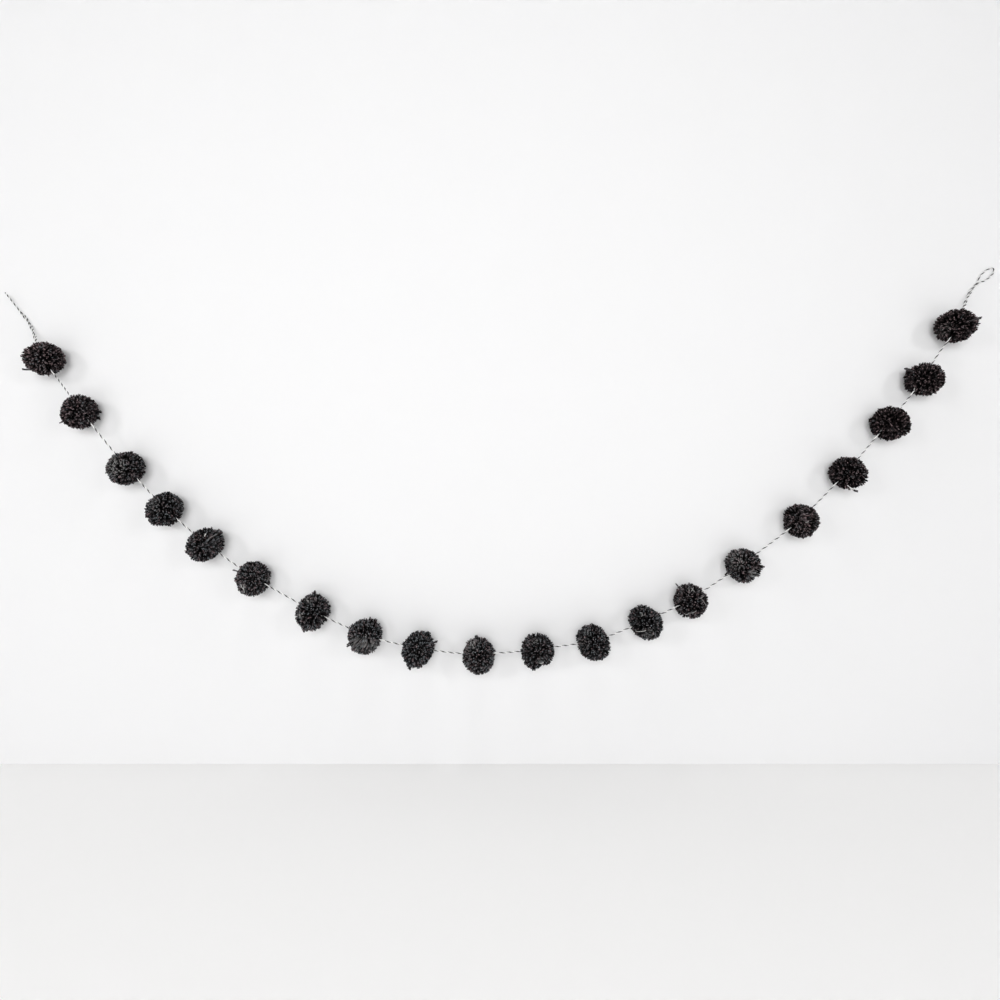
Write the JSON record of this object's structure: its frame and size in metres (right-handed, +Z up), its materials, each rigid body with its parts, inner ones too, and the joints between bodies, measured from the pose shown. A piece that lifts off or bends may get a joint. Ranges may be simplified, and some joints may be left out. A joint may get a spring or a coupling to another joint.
{
  "type": "pom-pom garland",
  "caption": "Charcoal yarn pom-poms threaded on black and white twine with a hanging loop at each end, hung as a swag on a wall.",
  "frame": {"origin": "where the left end of the twine is pinned to the wall, between the outermost pom-pom and the hanging loop", "axes": "+X along the wall from the left end to the right end, +Y into the wall, +Z up"},
  "size_m": [1.3653, 0.0517, 0.5565],
  "materials": {
    "pompom_yarn": "cut ends of matt charcoal black yarn, teased and trimmed by hand",
    "twine": "matt cotton twine of twisted black and white plies"
  },
  "bodies": {
    "root": {"twine": "twine", "pompom_01": "pompom_yarn", "pompom_02": "pompom_yarn", "pompom_03": "pompom_yarn", "pompom_04": "pompom_yarn", "pompom_05": "pompom_yarn", "pompom_06": "pompom_yarn", "pompom_07": "pompom_yarn", "pompom_08": "pompom_yarn", "pompom_09": "pompom_yarn", "pompom_10": "pompom_yarn", "pompom_11": "pompom_yarn", "pompom_12": "pompom_yarn", "pompom_13": "pompom_yarn", "pompom_14": "pompom_yarn", "pompom_15": "pompom_yarn", "pompom_16": "pompom_yarn", "pompom_17": "pompom_yarn", "pompom_18": "pompom_yarn", "pompom_19": "pompom_yarn", "pompom_20": "pompom_yarn"}
  },
  "joints": []
}
